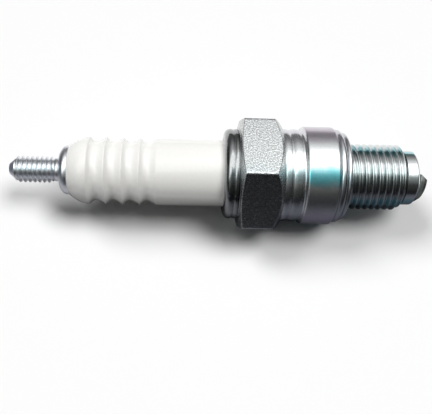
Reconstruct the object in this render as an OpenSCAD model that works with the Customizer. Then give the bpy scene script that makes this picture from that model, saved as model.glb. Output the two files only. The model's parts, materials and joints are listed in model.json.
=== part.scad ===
// Spark plug for a small motorcycle engine, lying on one flat of its hexagon.
// Every piece is drawn along its own axis, +Z towards the firing end, with zero at the shell's seat.
// The whole plug is then laid along +X, with the origin in the middle of the gasket's sealing face.

/* [Shell] */
// Outside diameter of the engine thread
thread_d = 9.94; // [9.6:0.02:10.2]
// Pitch of the engine thread
thread_pitch = 1.0; // [0.8:0.05:1.25]
// Length from the seat to the end of the shell
reach = 12.7; // [11:0.1:14]
// Diameter of the plain pilot at the end of the thread
pilot_d = 8.24; // [8:0.02:8.4]
// Length of the plain pilot, with its chamfer
pilot_l = 2.1; // [1.4:0.1:2.6]
// Distance from the gasket's sealing face to the start of the thread
thread_gap = 0.1; // [0.05:0.05:0.5]
// Chamfer at the end of the pilot
pilot_chamfer = 0.3; // [0.1:0.05:0.5]
// Diameter of the relief groove behind the gasket
relief_d = 8.6; // [8.4:0.02:8.64]
// Bore around the insulator's nose
nose_bore_d = 6.4; // [6:0.05:6.9]
// Bore around the insulator's body
body_bore_d = 11.8; // [11.4:0.05:12.2]
// Height of the inner ledge's top above the seat
ledge_top = 3.3; // [2.8:0.1:3.8]
// Diameter of the barrel that presses on the gasket
barrel_d = 14.74; // [14:0.05:15.6]
// Length of the barrel
barrel_l = 4.49; // [3.8:0.1:5.5]
// Length of the slope from the waist up to the barrel
barrel_slope_l = 0.4; // [0.2:0.05:0.6]
// Chamfer on the barrel's edges
barrel_chamfer = 0.12; // [0.05:0.01:0.3]
// Largest diameter of the waist between barrel and hexagon
waist_d = 13.9; // [13.4:0.05:14.4]
// Length of the waist
waist_l = 3.39; // [2.8:0.1:4]
// Distance of the waist's groove from the hexagon
waist_groove_l = 1.3; // [0.9:0.1:1.8]
// Depth of that groove and of the hollows at the waist's ends
waist_hollow = 0.15; // [0.05:0.01:0.25]
// Hexagon across its flats
hex_af = 16; // [15:0.1:18]
// Length of the hexagon
hex_l = 6.17; // [5.4:0.1:7.5]
// Diameter of the hexagon's flat end faces
hex_face_d = 15.1; // [14.4:0.1:15.6]
// Angle of the crown on the hexagon's terminal side
hex_crown_terminal = 17; // [10:1:30]
// Angle of the crown on the hexagon's firing side
hex_crown_firing = 38; // [25:1:45]
// Largest diameter of the rolled lip
lip_d = 13.5; // [13:0.05:14]
// Length of the rolled lip
lip_l = 2.25; // [1.9:0.05:2.8]
// Length of the lip's round edge
lip_round_l = 1.0; // [0.7:0.05:1.4]
// Thickness of the rolled lip
lip_t = 0.85; // [0.7:0.05:1]

/* [Insulator] */
// Diameter of the insulator's plain upper part
insulator_d = 9.98; // [9.4:0.02:10.4]
// Length that stands above the shell
head_l = 22.75; // [20:0.25:26]
// Diameter of the top edge
head_top_d = 7.44; // [7.36:0.02:8.4]
// Length of the rounded shoulder below the top edge
shoulder_l = 2.95; // [2:0.05:4]
// Number of ribs
rib_count = 4; // [2:1:5]
// Distance from rib to rib
rib_pitch = 2.505; // [2:0.01:2.8]
// Depth of the grooves between the ribs
rib_depth = 0.62; // [0.3:0.02:0.9]
// Length of the thick body inside the shell
body_l = 6.0; // [5:0.1:6.6]
// Room between the thick body and the shell
body_gap = 0.15; // [0.05:0.05:0.3]
// Room between the nose's root and the shell
nose_gap = 0.2; // [0.1:0.05:0.4]
// Length of the nose's straight root, from the seat
nose_root_l = 3.0; // [2:0.1:5]
// Diameter of the nose at its tip
nose_tip_d = 4.1; // [3.8:0.05:4.6]
// How far the nose ends short of the shell
nose_recess = 0.6; // [0.3:0.1:1.5]
// Bore for the terminal stud
stud_bore_d = 3.5; // [3.3:0.02:3.8]
// Bore for the centre electrode
electrode_bore_d = 2.6; // [2.5:0.02:2.8]

/* [Terminal stud] */
// Outside diameter of the terminal thread
stud_thread_d = 3.94; // [3.8:0.02:4.1]
// Pitch of the terminal thread
stud_pitch = 0.7; // [0.6:0.05:0.8]
// Length of the threaded end, with its point
stud_thread_l = 6.65; // [5.5:0.1:8]
// Diameter of the stud's flat tip
stud_tip_d = 1.64; // [1.2:0.02:2]
// Length of the cone behind the flat tip
stud_point_l = 1.3; // [0.8:0.05:1.8]
// Diameter of the plain neck under the thread
stud_neck_d = 3.44; // [3.2:0.02:3.6]
// Length of the plain neck
stud_neck_l = 0.65; // [0.5:0.05:1.5]
// Diameter of the domed flange
flange_d = 7.32; // [6.8:0.02:7.34]
// Height of the flange's dome
flange_dome_h = 1.25; // [0.8:0.05:1.4]
// Height of the flange's straight rim
flange_rim_h = 0.3; // [0.15:0.05:0.5]
// Diameter of the shank in the insulator
shank_d = 3.1; // [2.8:0.05:3.2]
// Length of the shank below the flange
shank_l = 27.4; // [26.5:0.1:28]
// Number of grooves that key the shank's end into the glass
key_count = 4; // [2:1:6]
// Pitch of those grooves
key_pitch = 0.6; // [0.5:0.05:0.7]
// Depth of those grooves
key_depth = 0.15; // [0.05:0.05:0.25]

/* [Electrodes and seal] */
// Diameter of the centre electrode
electrode_d = 2.5; // [2.2:0.02:2.5]
// Diameter of its head
electrode_head_d = 3.3; // [3.1:0.02:3.4]
// Height of its head
electrode_head_h = 1.5; // [1.2:0.1:2]
// Distance from the shank's end to the step that carries the electrode's head
electrode_step = 4.45; // [3.6:0.05:5.5]
// Diameter of the copper core
core_d = 1.4; // [1:0.05:1.6]
// Length of nickel left in front of the copper core
core_cover = 2.5; // [1.5:0.1:4]
// Length of shank that the glass holds
glass_grip = 2.9; // [2.5:0.1:3.5]
// Thickness of the ground electrode's strap
strap_t = 1.2; // [0.9:0.05:1.3]
// Width of the strap
strap_w = 2.3; // [1.8:0.1:2.6]
// Angle of the strap's sharp bend by the shell
strap_first_bend = 50; // [40:1:56]
// Radius of that bend at the strap's middle
strap_first_r = 0.7; // [0.65:0.05:1]
// Radius of the long bend at the strap's middle
strap_second_r = 5.0; // [4:0.1:6]
// Angle of the strap's tip to the plug's axis
strap_end_angle = 78; // [70:1:90]
// Length of the straight tip, along its outer face
strap_tip_l = 0.2; // [0:0.05:1.6]
// Slant of the cut across the tip
strap_tip_slant = 30; // [0:1:40]
// Angle of the strap below the horizontal, at the front
strap_angle = 15; // [0:1:60]
// Spark gap
spark_gap = 0.7; // [0.5:0.05:0.9]

/* [Gasket and packings] */
// Outside diameter of the gasket's first fold
gasket_d = 14.1; // [13.4:0.05:14.6]
// Outside diameter of its last layer
gasket_lip_d = 13.2; // [12.4:0.05:13.6]
// Thickness of the gasket's sheet
gasket_sheet = 0.44; // [0.3:0.02:0.5]
// Clear space between its layers
gasket_space = 0.3; // [0.15:0.01:0.4]
// Seam between its rolled edge and the layer behind
gasket_seam = 0.05; // [0.03:0.01:0.1]
// Room between the gasket and the relief groove
gasket_room = 0.25; // [0.1:0.05:0.35]
// Play between the gasket and the seat
gasket_play = 0.06; // [0.03:0.01:0.2]
// Diameter of the wire in the packing rings
ring_wire_d = 0.84; // [0.6:0.02:0.86]
// Thickness of the conical seat washer
seat_washer_t = 0.3; // [0.2:0.02:0.4]
// Distance of the seat washer's edges from the edges of its seat
seat_margin = 0.5; // [0.2:0.05:0.8]
// Clearance left around the packings and the glass
packing_gap = 0.03; // [0.02:0.01:0.05]

/* [Hidden] */
$fn = 96;
arc_steps = 10;
wave_steps = 12;

// Stations along the axis
barrel_z = -barrel_l;
waist_z = barrel_z - waist_l;
hex_z = waist_z - hex_l;
lip_z = hex_z - lip_l;
head_z = lip_z - head_l;
rib_z = head_z + shoulder_l;
flange_z = head_z - flange_rim_h - flange_dome_h;
neck_z = flange_z - stud_neck_l;
tip_z = neck_z - stud_thread_l;
gasket_h = 3 * gasket_sheet + 2 * gasket_space;
sealing_z = gasket_play + gasket_h;
nose_z = reach - nose_recess;
shank_end_z = head_z + shank_l;
step_z = shank_end_z + electrode_step;

// Thread sizes: flanks at 60 degrees with a flat crest and a flat root
thread_depth_ratio = 0.613;
crest_ratio = 1 / 8;
root_ratio = 1 / 4;
stud_root_r = stud_thread_d / 2 - thread_depth_ratio * stud_pitch;
thread_sides = 40;
stud_thread_sides = 32;
thread_turn = 325;
stud_turn = 128;
thread_lead = 0.7;
thread_trail = 0.5;
thread_wall = 0.4;
stud_core_inset = 0.09;
stud_tube_wall = 0.25;
thread_start = sealing_z + thread_gap;
thread_end = reach - pilot_l;
overlap = 0.1;

// Strap: base inside the pilot's chamfer, bent sharply at first and then in a long curve
strap_stub = 0.05;
strap_edge_gap = 0.2;
strap_foot_h = 0.25;
strap_foot_inset = 0.05;
strap_foot_overhang = 0.15;
strap_foot_w = strap_w + 2 * strap_foot_overhang;
strap_base_r = pilot_d / 2 - pilot_chamfer - strap_edge_gap - strap_t / 2;
strap_first_c = [strap_base_r - strap_first_r, strap_stub];
strap_second_c = strap_first_c
    + (strap_first_r - strap_second_r) * [cos(strap_first_bend), sin(strap_first_bend)];

// The centre electrode's edge lies one spark gap from the strap's inner face
gap_arc_r = strap_second_r - strap_t / 2 - spark_gap;
electrode_tip_z = reach + strap_second_c[1]
    + sqrt(pow(gap_arc_r, 2) - pow(electrode_d / 2 - strap_second_c[0], 2));

// Points on an arc about [cx, cy], from angle a0 to angle a1
function arc(cx, cy, r, a0, a1) =
    [for (i = [0 : arc_steps]) let (a = a0 + (a1 - a0) * i / arc_steps) [cx + r * cos(a), cy + r * sin(a)]];

// Points of a round swelling from z0 to z1, with its crown at radius r and its feet lower by drop
function swelling(r, drop, z0, z1) =
    [for (i = [0 : arc_steps]) let (t = i / arc_steps) [r - drop * pow(2 * t - 1, 2), z0 + (z1 - z0) * t]];

// Lays a piece that is drawn along Z into the plug's own frame
module placed() {
    translate([-sealing_z, 0, 0]) rotate([0, 90, 0]) children();
}

// A turned piece from points of [radius, station]
module turned(points) {
    rotate_extrude() polygon(points);
}

// A tube along Z whose outside carries a right-hand thread, cut back by a cone at each end
module threaded_tube(major_r, pitch, inner_r, z0, z1, lead, trail, sides) {
    depth = thread_depth_ratio * pitch;
    root_r = major_r - depth;
    flank = pitch * (1 - crest_ratio - root_ratio) / 2;
    crest = pitch * crest_ratio;
    profile = [[0, 0], [flank, depth], [flank + crest, depth], [2 * flank + crest, 0]];
    m = len(profile);
    turns = floor((z1 - z0) / pitch) - 1;
    margin = (z1 - z0 - (turns + 1) * pitch) / 2;
    last = turns * m;
    step = 360 / sides;
    row_z = function (i, j) z0 + margin + pitch * (floor(i / m) + j / sides) + profile[i % m][0];
    cut = function (z) depth * max(0, min(1, (z - z0) / lead, (z1 - z) / trail));
    at = function (r, j, z) [r * cos(step * j), r * sin(step * j), z];
    ring = function (r, z) [for (j = [0 : sides - 1]) at(r, j, z)];
    grid = [
        for (i = [0 : last]) for (j = [0 : sides - 1])
            let (z = row_z(i, j)) at(root_r + min(profile[i % m][1], cut(z)), j, z)
    ];
    points = concat(grid, ring(root_r, z0), ring(root_r, z1), ring(inner_r, z0), ring(inner_r, z1));
    // The column after the last one is the first column, one pitch further on
    g = function (i, j) j < sides ? i * sides + j : (i + m) * sides;
    base = (last + 1) * sides;
    lo = function (j) base + j % sides;
    hi = function (j) base + sides + j % sides;
    lo_in = function (j) base + 2 * sides + j % sides;
    hi_in = function (j) base + 3 * sides + j % sides;
    end = sides - 1;
    flanks = [
        for (i = [0 : last - 1]) for (j = [0 : end]) if (j < end || i + m < last)
            each [[g(i, j), g(i + 1, j), g(i + 1, j + 1)], [g(i, j), g(i + 1, j + 1), g(i, j + 1)]]
    ];
    start_run = [
        for (j = [0 : end - 1])
            each [[lo(j), g(0, j), g(0, j + 1)], [lo(j), g(0, j + 1), lo(j + 1)]]
    ];
    start_step = concat(
        [for (k = [0 : m - 1]) [g(0, end), g(k + 1, 0), g(k, 0)]],
        [[g(0, end), g(0, 0), lo(0)], [g(0, end), lo(0), lo(end)]]
    );
    end_run = [
        for (j = [0 : end - 1])
            each [[g(last, j), hi(j), hi(j + 1)], [g(last, j), hi(j + 1), g(last, j + 1)]]
    ];
    end_step = concat(
        [for (k = [last - m : last - 1]) [g(last, 0), g(k, end), g(k + 1, end)]],
        [[g(last, 0), g(last, end), hi(end)], [g(last, 0), hi(end), hi(0)]]
    );
    walls = [
        for (j = [0 : end])
            each [
                [lo_in(j), lo_in(j + 1), hi_in(j + 1), hi_in(j)],
                [lo(j), lo(j + 1), lo_in(j + 1), lo_in(j)],
                [hi(j), hi_in(j), hi_in(j + 1), hi(j + 1)]
            ]
    ];
    polyhedron(points, concat(flanks, start_run, start_step, end_run, end_step, walls));
}

// Radius of the insulator's rounded shoulder at a share t of its length
shoulder_skew = 0.9;
function shoulder_r(t) = head_top_d / 2 + (insulator_d - head_top_d) / 2 * sin(90 * pow(t, shoulder_skew));

// Radius over one rib groove, steep on the terminal side, at a share t of the pitch
groove_skew = 0.756;
groove_power = 1.2;
function groove_r(t) = insulator_d / 2 - rib_depth * pow(sin(180 * pow(t, groove_skew)), groove_power);

// The bore around the insulator's body, which always leaves room for the packing rings
bore_r = max(body_bore_d / 2, insulator_d / 2 + ring_wire_d + 2 * packing_gap);

// The 45 degree ledge inside the shell and the insulator's seat above it
function ledge_at(r) = -ledge_top + bore_r - r;
function seat_at(r) = ledge_at(r) - seat_washer_t * sqrt(2);
body_r = bore_r - body_gap;
body_z = seat_at(body_r);
body_top_z = body_z - body_l;
nose_r = nose_bore_d / 2 - nose_gap;
body_bevel = body_r - insulator_d / 2;

// The lip's mouth and the 45 degree face under the lip
lip_mouth_r = insulator_d / 2 + packing_gap;
function lip_under_at(r) = lip_z + lip_t + r - lip_mouth_r;

module terminal_stud() {
    core_r = stud_root_r - stud_core_inset;
    point_slope = stud_point_l / (stud_thread_d - stud_tip_d) * 2;
    point_at = function (r) tip_z + (r - stud_tip_d / 2) * point_slope;
    dome = [
        for (i = [0 : arc_steps]) let (a = 90 * i / arc_steps)
            [
                stud_neck_d / 2 + (flange_d - stud_neck_d) / 2 * sin(a),
                flange_z + flange_dome_h * (1 - cos(a))
            ]
    ];
    color("lightsteelblue") placed() {
        turned(concat(
            [[0, tip_z], [stud_tip_d / 2, tip_z], [core_r, point_at(core_r)], [core_r, neck_z]],
            [[stud_neck_d / 2, neck_z]],
            dome,
            [[flange_d / 2, head_z], [0, head_z]]
        ));
        shank();
        rotate(stud_turn)
            threaded_tube(stud_thread_d / 2, stud_pitch, core_r - stud_tube_wall, point_at(stud_root_r),
                neck_z + overlap, point_at(stud_thread_d / 2) - point_at(stud_root_r), thread_trail,
                stud_thread_sides);
    }
}

// The stud's shank, grooved where the glass holds it
module shank() {
    r = shank_d / 2;
    low_r = r - key_depth;
    quarter = key_pitch / 4;
    top_z = head_z - flange_rim_h;
    keys = [
        for (k = [key_count : -1 : 1]) let (z = shank_end_z - k * key_pitch)
            each [[r, z - 2 * quarter], [low_r, z - quarter], [low_r, z], [r, z + quarter]]
    ];
    turned(concat([[0, top_z], [r, top_z]], keys, [[r, shank_end_z], [0, shank_end_z]]));
}

module insulator() {
    r = insulator_d / 2;
    steps = wave_steps;
    shoulder = [for (i = [0 : steps]) let (t = i / steps) [shoulder_r(t), head_z + t * shoulder_l]];
    ribs = [
        for (k = [0 : rib_count - 1]) for (i = [1 : steps]) let (t = i / steps)
            [groove_r(t), rib_z + (k + t) * rib_pitch]
    ];
    tip_r = nose_tip_d / 2;
    tip_round = (tip_r - electrode_bore_d / 2) / 2;
    outside = concat(
        shoulder, ribs,
        [[r, body_top_z - body_bevel], [body_r, body_top_z], [body_r, body_z]],
        [[nose_r, seat_at(nose_r)], [nose_r, nose_root_l]],
        arc(tip_r - tip_round, nose_z - tip_round, tip_round, 0, 90)
    );
    tip_bore_r = electrode_bore_d / 2;
    inside = [
        [tip_bore_r, nose_z], [tip_bore_r, step_z + (stud_bore_d - electrode_bore_d) / 2],
        [stud_bore_d / 2, step_z], [stud_bore_d / 2, head_z]
    ];
    color("white") placed() turned(concat(outside, inside));
}

// Points of the lip's round edge, from its mouth to its largest radius r
function lip_edge(r) =
    let (mouth_r = lip_mouth_r - overlap)
    [
        for (i = [0 : arc_steps]) let (a = 90 * i / arc_steps)
            [mouth_r + (r - mouth_r) * sin(a), lip_z + lip_round_l * (1 - cos(a))]
    ];

// Outline of the shell from the lip to the pilot, without the hexagon's corners and the thread
module shell_outside() {
    lip_r = lip_d / 2;
    waist_r = waist_d / 2;
    waist_foot_r = waist_r - waist_hollow;
    lip_foot_r = lip_r - waist_hollow / 2;
    groove_z = waist_z + waist_groove_l;
    slope_z = barrel_z - barrel_slope_l;
    core_r = pilot_d / 2;
    barrel_r = barrel_d / 2;
    turned(concat(
        [[0, lip_z]], lip_edge(lip_r),
        [[lip_foot_r, hex_z], [lip_foot_r, waist_z - overlap], [waist_foot_r, waist_z - overlap]],
        swelling(waist_r, waist_hollow, waist_z, groove_z),
        swelling(waist_r, waist_hollow, groove_z, slope_z),
        [[barrel_r - barrel_chamfer, barrel_z], [barrel_r, barrel_z + barrel_chamfer]],
        [[barrel_r, -barrel_chamfer], [barrel_r - barrel_chamfer, 0]],
        [[relief_d / 2, 0], [relief_d / 2, thread_start + overlap], [core_r, thread_start + overlap]],
        [[core_r, reach - pilot_chamfer], [core_r - pilot_chamfer, reach], [0, reach]]
    ));
}

// Hexagon with a crown turned on both ends, one flat down
module crowned_hexagon() {
    corner_r = hex_af / sqrt(3);
    face_r = hex_face_d / 2;
    terminal_h = (corner_r - face_r) * tan(hex_crown_terminal);
    firing_h = (corner_r - face_r) * tan(hex_crown_firing);
    intersection() {
        translate([0, 0, hex_z]) rotate(30) cylinder(r = corner_r, h = hex_l, $fn = 6);
        turned([
            [0, hex_z], [face_r, hex_z], [corner_r, hex_z + terminal_h],
            [corner_r, waist_z - firing_h], [face_r, waist_z], [0, waist_z]
        ]);
    }
}

// Space inside the shell: under the lip, around the insulator's body and around its nose
module shell_inside() {
    nose_bore_r = nose_bore_d / 2;
    turned([
        [0, lip_z - overlap], [lip_mouth_r, lip_z - overlap], [lip_mouth_r, lip_under_at(lip_mouth_r)],
        [bore_r, lip_under_at(bore_r)], [bore_r, ledge_at(bore_r)],
        [nose_bore_r, ledge_at(nose_bore_r)], [nose_bore_r, reach + overlap], [0, reach + overlap]
    ]);
}

module shell() {
    core_r = pilot_d / 2;
    color("silver") placed() {
        difference() {
            union() {
                shell_outside();
                crowned_hexagon();
            }
            shell_inside();
        }
        rotate(thread_turn)
            threaded_tube(thread_d / 2, thread_pitch, core_r - thread_wall / 2, thread_start, thread_end,
                thread_lead, thread_trail, thread_sides);
    }
}

// The packings fill the room between the insulator's upper part and the shell
packing_r = (insulator_d / 2 + bore_r) / 2;
wire_r = ring_wire_d / 2;
wire_seat = (wire_r + packing_gap) * sqrt(2);
lower_ring_z = body_top_z - (body_r - packing_r) - wire_seat;
upper_ring_z = lip_under_at(packing_r) + wire_seat;

module packing_ring(z) {
    placed() rotate_extrude() translate([packing_r, z]) circle(r = wire_r);
}

module upper_packing_ring() {
    color("dimgray") packing_ring(upper_ring_z);
}

module lower_packing_ring() {
    color("dimgray") packing_ring(lower_ring_z);
}

module talc_packing() {
    inner_r = insulator_d / 2 + packing_gap;
    outer_r = bore_r - packing_gap;
    top_z = upper_ring_z + wire_r + packing_gap;
    bottom_z = lower_ring_z - wire_r - packing_gap;
    color("beige") placed()
        turned([[inner_r, top_z], [outer_r, top_z], [outer_r, bottom_z], [inner_r, bottom_z]]);
}

module seat_packing() {
    inner_r = nose_bore_d / 2 + seat_margin;
    outer_r = body_r - seat_margin;
    color("darkgray") placed()
        turned([
            [outer_r, seat_at(outer_r) + packing_gap], [inner_r, seat_at(inner_r) + packing_gap],
            [inner_r, ledge_at(inner_r) - packing_gap], [outer_r, ledge_at(outer_r) - packing_gap]
        ]);
}

// Station where the electrode's head cone, parallel to the insulator's step, has radius r
function head_cone_at(r) = step_z + stud_bore_d / 2 - r - packing_gap;
electrode_top_z = head_cone_at(electrode_head_d / 2) - electrode_head_h;

head_round = 0.3;
electrode_bevel = 0.1;

// The centre electrode's outside, with the room for its copper core left solid
module electrode_outside() {
    r = electrode_d / 2;
    head_r = electrode_head_d / 2;
    turned(concat(
        [[0, electrode_top_z]],
        arc(head_r - head_round, electrode_top_z + head_round, head_round, -90, 0),
        [[head_r, head_cone_at(head_r)], [r, head_cone_at(r)]],
        [[r, electrode_tip_z - electrode_bevel], [r - electrode_bevel, electrode_tip_z], [0, electrode_tip_z]]
    ));
}

// The copper core, wider by grow all round and longer by above at its open end
module core_shape(grow, above) {
    r = core_d / 2 + grow;
    top_z = electrode_top_z - above;
    end_z = electrode_tip_z - core_cover + grow;
    turned([[0, top_z], [r, top_z], [r, end_z - core_d / 2], [core_d / 4, end_z], [0, end_z]]);
}

module centre_electrode() {
    color("gainsboro") placed() difference() {
        electrode_outside();
        core_shape(packing_gap, overlap);
    }
}

module copper_core() {
    color("peru") placed() core_shape(0, 0);
}

module glass_seal() {
    r = stud_bore_d / 2 - packing_gap;
    top_z = shank_end_z - glass_grip;
    under_shank_z = shank_end_z + packing_gap;
    bottom_z = step_z - packing_gap;
    shank_hole_r = shank_d / 2 + packing_gap;
    head_hole_r = electrode_head_d / 2 + packing_gap;
    head_hole_z = electrode_top_z - packing_gap;
    color("darkslategray") placed()
        turned([
            [shank_hole_r, top_z], [r, top_z], [r, bottom_z], [head_hole_r, bottom_z],
            [head_hole_r, head_hole_z], [0, head_hole_z], [0, under_shank_z], [shank_hole_r, under_shank_z]
        ]);
}

// One face of the strap seen from its edge, at a distance out from its middle
function strap_face(out) =
    let (
        first = strap_first_c,
        second = strap_second_c,
        bend_end = second + (strap_second_r + out) * [cos(strap_end_angle), sin(strap_end_angle)],
        tip_l = strap_tip_l + (strap_t / 2 - out) * tan(strap_tip_slant)
    )
    concat(
        [[strap_base_r + out, 0]],
        arc(first[0], first[1], strap_first_r + out, 0, strap_first_bend),
        arc(second[0], second[1], strap_second_r + out, strap_first_bend, strap_end_angle),
        [bend_end + tip_l * [-sin(strap_end_angle), cos(strap_end_angle)]]
    );

module ground_electrode() {
    outer = strap_face(strap_t / 2);
    inner = strap_face(-strap_t / 2);
    count = len(inner);
    foot_t = strap_t - 2 * strap_foot_inset;
    color("darkgray") placed() rotate(strap_angle - 90) translate([0, 0, reach]) {
        rotate([90, 0, 0]) linear_extrude(strap_w, center = true)
            polygon(concat(outer, [for (i = [1 : count]) inner[count - i]]));
        translate([strap_base_r - foot_t / 2, -strap_foot_w / 2, 0])
            cube([foot_t, strap_foot_w, strap_foot_h]);
    }
}

// Half ring of the gasket's sheet, open towards -x where side is 1 and towards +x where side is -1
module gasket_fold(side) {
    r = gasket_space / 2;
    box = gasket_sheet + r;
    intersection() {
        difference() {
            circle(r = r + gasket_sheet);
            circle(r = r);
        }
        translate([side > 0 ? 0 : -box, -box]) square([box, 2 * box]);
    }
}

module gasket() {
    t = gasket_sheet;
    layer = gasket_sheet + gasket_space;
    bend = gasket_space / 2 + gasket_sheet;
    inner_r = relief_d / 2 + gasket_room;
    outer_x = gasket_d / 2 - bend;
    inner_x = inner_r + bend;
    roll_r = (layer - gasket_seam) / 2;
    lip_x = gasket_lip_d / 2 - roll_r;
    color("lightgray") placed() translate([0, 0, gasket_play]) rotate_extrude() {
        translate([inner_r, 0]) square([outer_x - inner_r, t]);
        translate([outer_x, bend]) gasket_fold(1);
        translate([inner_x, layer]) square([outer_x - inner_x, t]);
        translate([inner_x, layer + bend]) gasket_fold(-1);
        translate([inner_x, 2 * layer]) square([lip_x - inner_x, t]);
        translate([lip_x, gasket_h - roll_r]) circle(r = roll_r);
    }
}

terminal_stud();
insulator();
shell();
upper_packing_ring();
talc_packing();
lower_packing_ring();
seat_packing();
glass_seal();
centre_electrode();
copper_core();
ground_electrode();
gasket();
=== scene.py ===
# %% [markdown]
# # A spark plug, piece by piece
#
# A spark plug is almost all turned work: a white ceramic rod inside a steel shell, with a thread at each
# end. This lesson dresses the packed CAD model of such a plug. The CAD solids give the places and the
# motion. Here the visible pieces get clean meshes with broken edges and rolled threads, and every surface
# gets its real finish. The plug lies along X, with its terminal at -X and its firing end at +X. All lengths
# below are in millimetres, and MM turns them into Blender's metres.

# %% Load the frame
import json
import math
from collections import namedtuple

import bpy
import numpy as np
from mathutils import Matrix, Vector


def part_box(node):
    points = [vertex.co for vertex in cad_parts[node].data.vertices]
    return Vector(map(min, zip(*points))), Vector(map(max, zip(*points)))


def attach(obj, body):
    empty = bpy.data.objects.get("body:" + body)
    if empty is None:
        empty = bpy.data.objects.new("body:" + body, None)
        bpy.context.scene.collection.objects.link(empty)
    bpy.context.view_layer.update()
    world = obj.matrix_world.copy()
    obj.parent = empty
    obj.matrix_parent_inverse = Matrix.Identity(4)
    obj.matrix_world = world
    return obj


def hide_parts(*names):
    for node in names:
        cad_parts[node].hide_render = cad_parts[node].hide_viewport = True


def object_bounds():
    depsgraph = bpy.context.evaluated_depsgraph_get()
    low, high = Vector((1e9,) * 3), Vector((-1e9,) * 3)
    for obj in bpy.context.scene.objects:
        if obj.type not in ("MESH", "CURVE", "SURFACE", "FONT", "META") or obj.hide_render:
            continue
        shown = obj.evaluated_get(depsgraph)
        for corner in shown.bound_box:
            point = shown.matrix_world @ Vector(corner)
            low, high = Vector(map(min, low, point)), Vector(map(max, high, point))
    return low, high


MM = 0.001
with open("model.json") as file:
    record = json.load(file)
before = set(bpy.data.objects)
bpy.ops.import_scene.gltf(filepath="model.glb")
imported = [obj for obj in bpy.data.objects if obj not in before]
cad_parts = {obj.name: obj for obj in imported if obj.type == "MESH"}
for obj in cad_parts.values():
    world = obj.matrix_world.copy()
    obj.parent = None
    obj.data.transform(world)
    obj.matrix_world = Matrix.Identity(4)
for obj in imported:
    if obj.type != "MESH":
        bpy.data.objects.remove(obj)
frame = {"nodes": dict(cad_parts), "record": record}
cad_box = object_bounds()
nodes = frame["nodes"]
mounts = {mount["name"]: mount for mount in frame["record"]["mounts"]}
scene = bpy.context.scene
print("nodes:", sorted(nodes))

# %% [markdown]
# ## The camera
#
# The photograph looks down at the plug from the front, steeply, from about nine centimetres away. At that
# distance perspective shows, so the camera's place matters as much as its direction. The place, the
# direction and the lens were found by fitting the hexagon's corners, the barrel's edges and the turns of
# both threads to the picture. A Track To constraint could aim the camera too, but it leaves no say over the
# roll, so its three axes are worked out here.

# %% Camera
PICTURE_WIDTH = 432
LENS_IN_PIXELS = 597.5
SENSOR_WIDTH = 36.0
NEAREST_SEEN = 5.0
CAMERA_PLACE = Vector((-23.75, -46.37, 77.67))
CAMERA_DOWN = math.radians(62.245)
CAMERA_YAW = math.radians(6.276)
CAMERA_ROLL = math.radians(6.736)


def camera_axes():
    """The camera's directions to the right, up and back."""
    ahead = Vector((
        math.cos(CAMERA_DOWN) * math.sin(CAMERA_YAW),
        math.cos(CAMERA_DOWN) * math.cos(CAMERA_YAW),
        -math.sin(CAMERA_DOWN),
    ))
    level = ahead.cross(Vector((0, 0, 1))).normalized()
    upright = level.cross(ahead)
    right = math.cos(CAMERA_ROLL) * level + math.sin(CAMERA_ROLL) * upright
    up = math.cos(CAMERA_ROLL) * upright - math.sin(CAMERA_ROLL) * level
    return right, up, -ahead


def add_camera():
    data = bpy.data.cameras.new("camera")
    data.sensor_width = SENSOR_WIDTH
    data.lens = LENS_IN_PIXELS / PICTURE_WIDTH * SENSOR_WIDTH
    data.clip_start = NEAREST_SEEN * MM
    camera = bpy.data.objects.new("camera", data)
    axes = Matrix(camera_axes()).transposed()
    camera.matrix_world = Matrix.Translation(CAMERA_PLACE * MM) @ axes.to_4x4()
    scene.collection.objects.link(camera)
    scene.camera = camera
    return data.lens


print("lens in mm:", round(add_camera(), 2))

# %% [markdown]
# ## Columns round the axis
#
# Most of a spark plug is turned on a lathe. A lathe piece can be made with the Screw modifier, but this one
# also has a hexagon and two helical threads. So the pieces here are built as grids: the columns run round
# the axis, and each row is a station with a radius. A row may have one radius all round, or one for each
# column, which is how the hexagon fits into the same grid. The columns stand closer together at the
# hexagon's corners, so that these can be rounded.

# %% Columns round the axis
FULL_TURN = 360
HEX_SIDES = 6
HEX_SECTOR = FULL_TURN / HEX_SIDES
TURN_COLUMNS = 180
CORNER_STEPS = (0.35, 0.7, 1.1, 1.6)


def off_corner(angle):
    """Degrees from an angle to the nearest corner of the hexagon."""
    return abs((angle + HEX_SECTOR / 2) % HEX_SECTOR - HEX_SECTOR / 2)


def column_angles():
    """Angles about the axis from +Y towards +Z, in degrees."""
    even = [i * FULL_TURN / TURN_COLUMNS for i in range(TURN_COLUMNS)]
    far = [angle for angle in even if off_corner(angle) > CORNER_STEPS[-1]]
    steps = [-step for step in CORNER_STEPS] + [0.0] + list(CORNER_STEPS)
    near = [(corner * HEX_SECTOR + step) % FULL_TURN for corner in range(HEX_SIDES) for step in steps]
    return np.array(sorted(near + far))


ANGLES = column_angles()
COLUMNS = len(ANGLES)
COS = np.cos(np.radians(ANGLES))
SIN = np.sin(np.radians(ANGLES))
print("columns:", COLUMNS)

# %% [markdown]
# ## Broken edges
#
# No machined edge is quite sharp, and the narrow rounding along it catches a line of light. The Bevel
# modifier could make it, but its width is hard to hold on a grid as fine as this one. So an outline here
# gives each corner its own edge length, and a short curve of a few rows takes the corner's place. One more
# row on each side keeps the smooth shading close to the edge.

# %% Rows and their broken edges
EDGE_STEPS = 3
HOLD = 1.8


def at_all_columns(value):
    return np.broadcast_to(np.asarray(value, float), (COLUMNS,))


def towards(here, there):
    """Unit direction and length from one row of points to another."""
    length = np.linalg.norm(there - here, axis=0)
    return (there - here) / length, length


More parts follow.
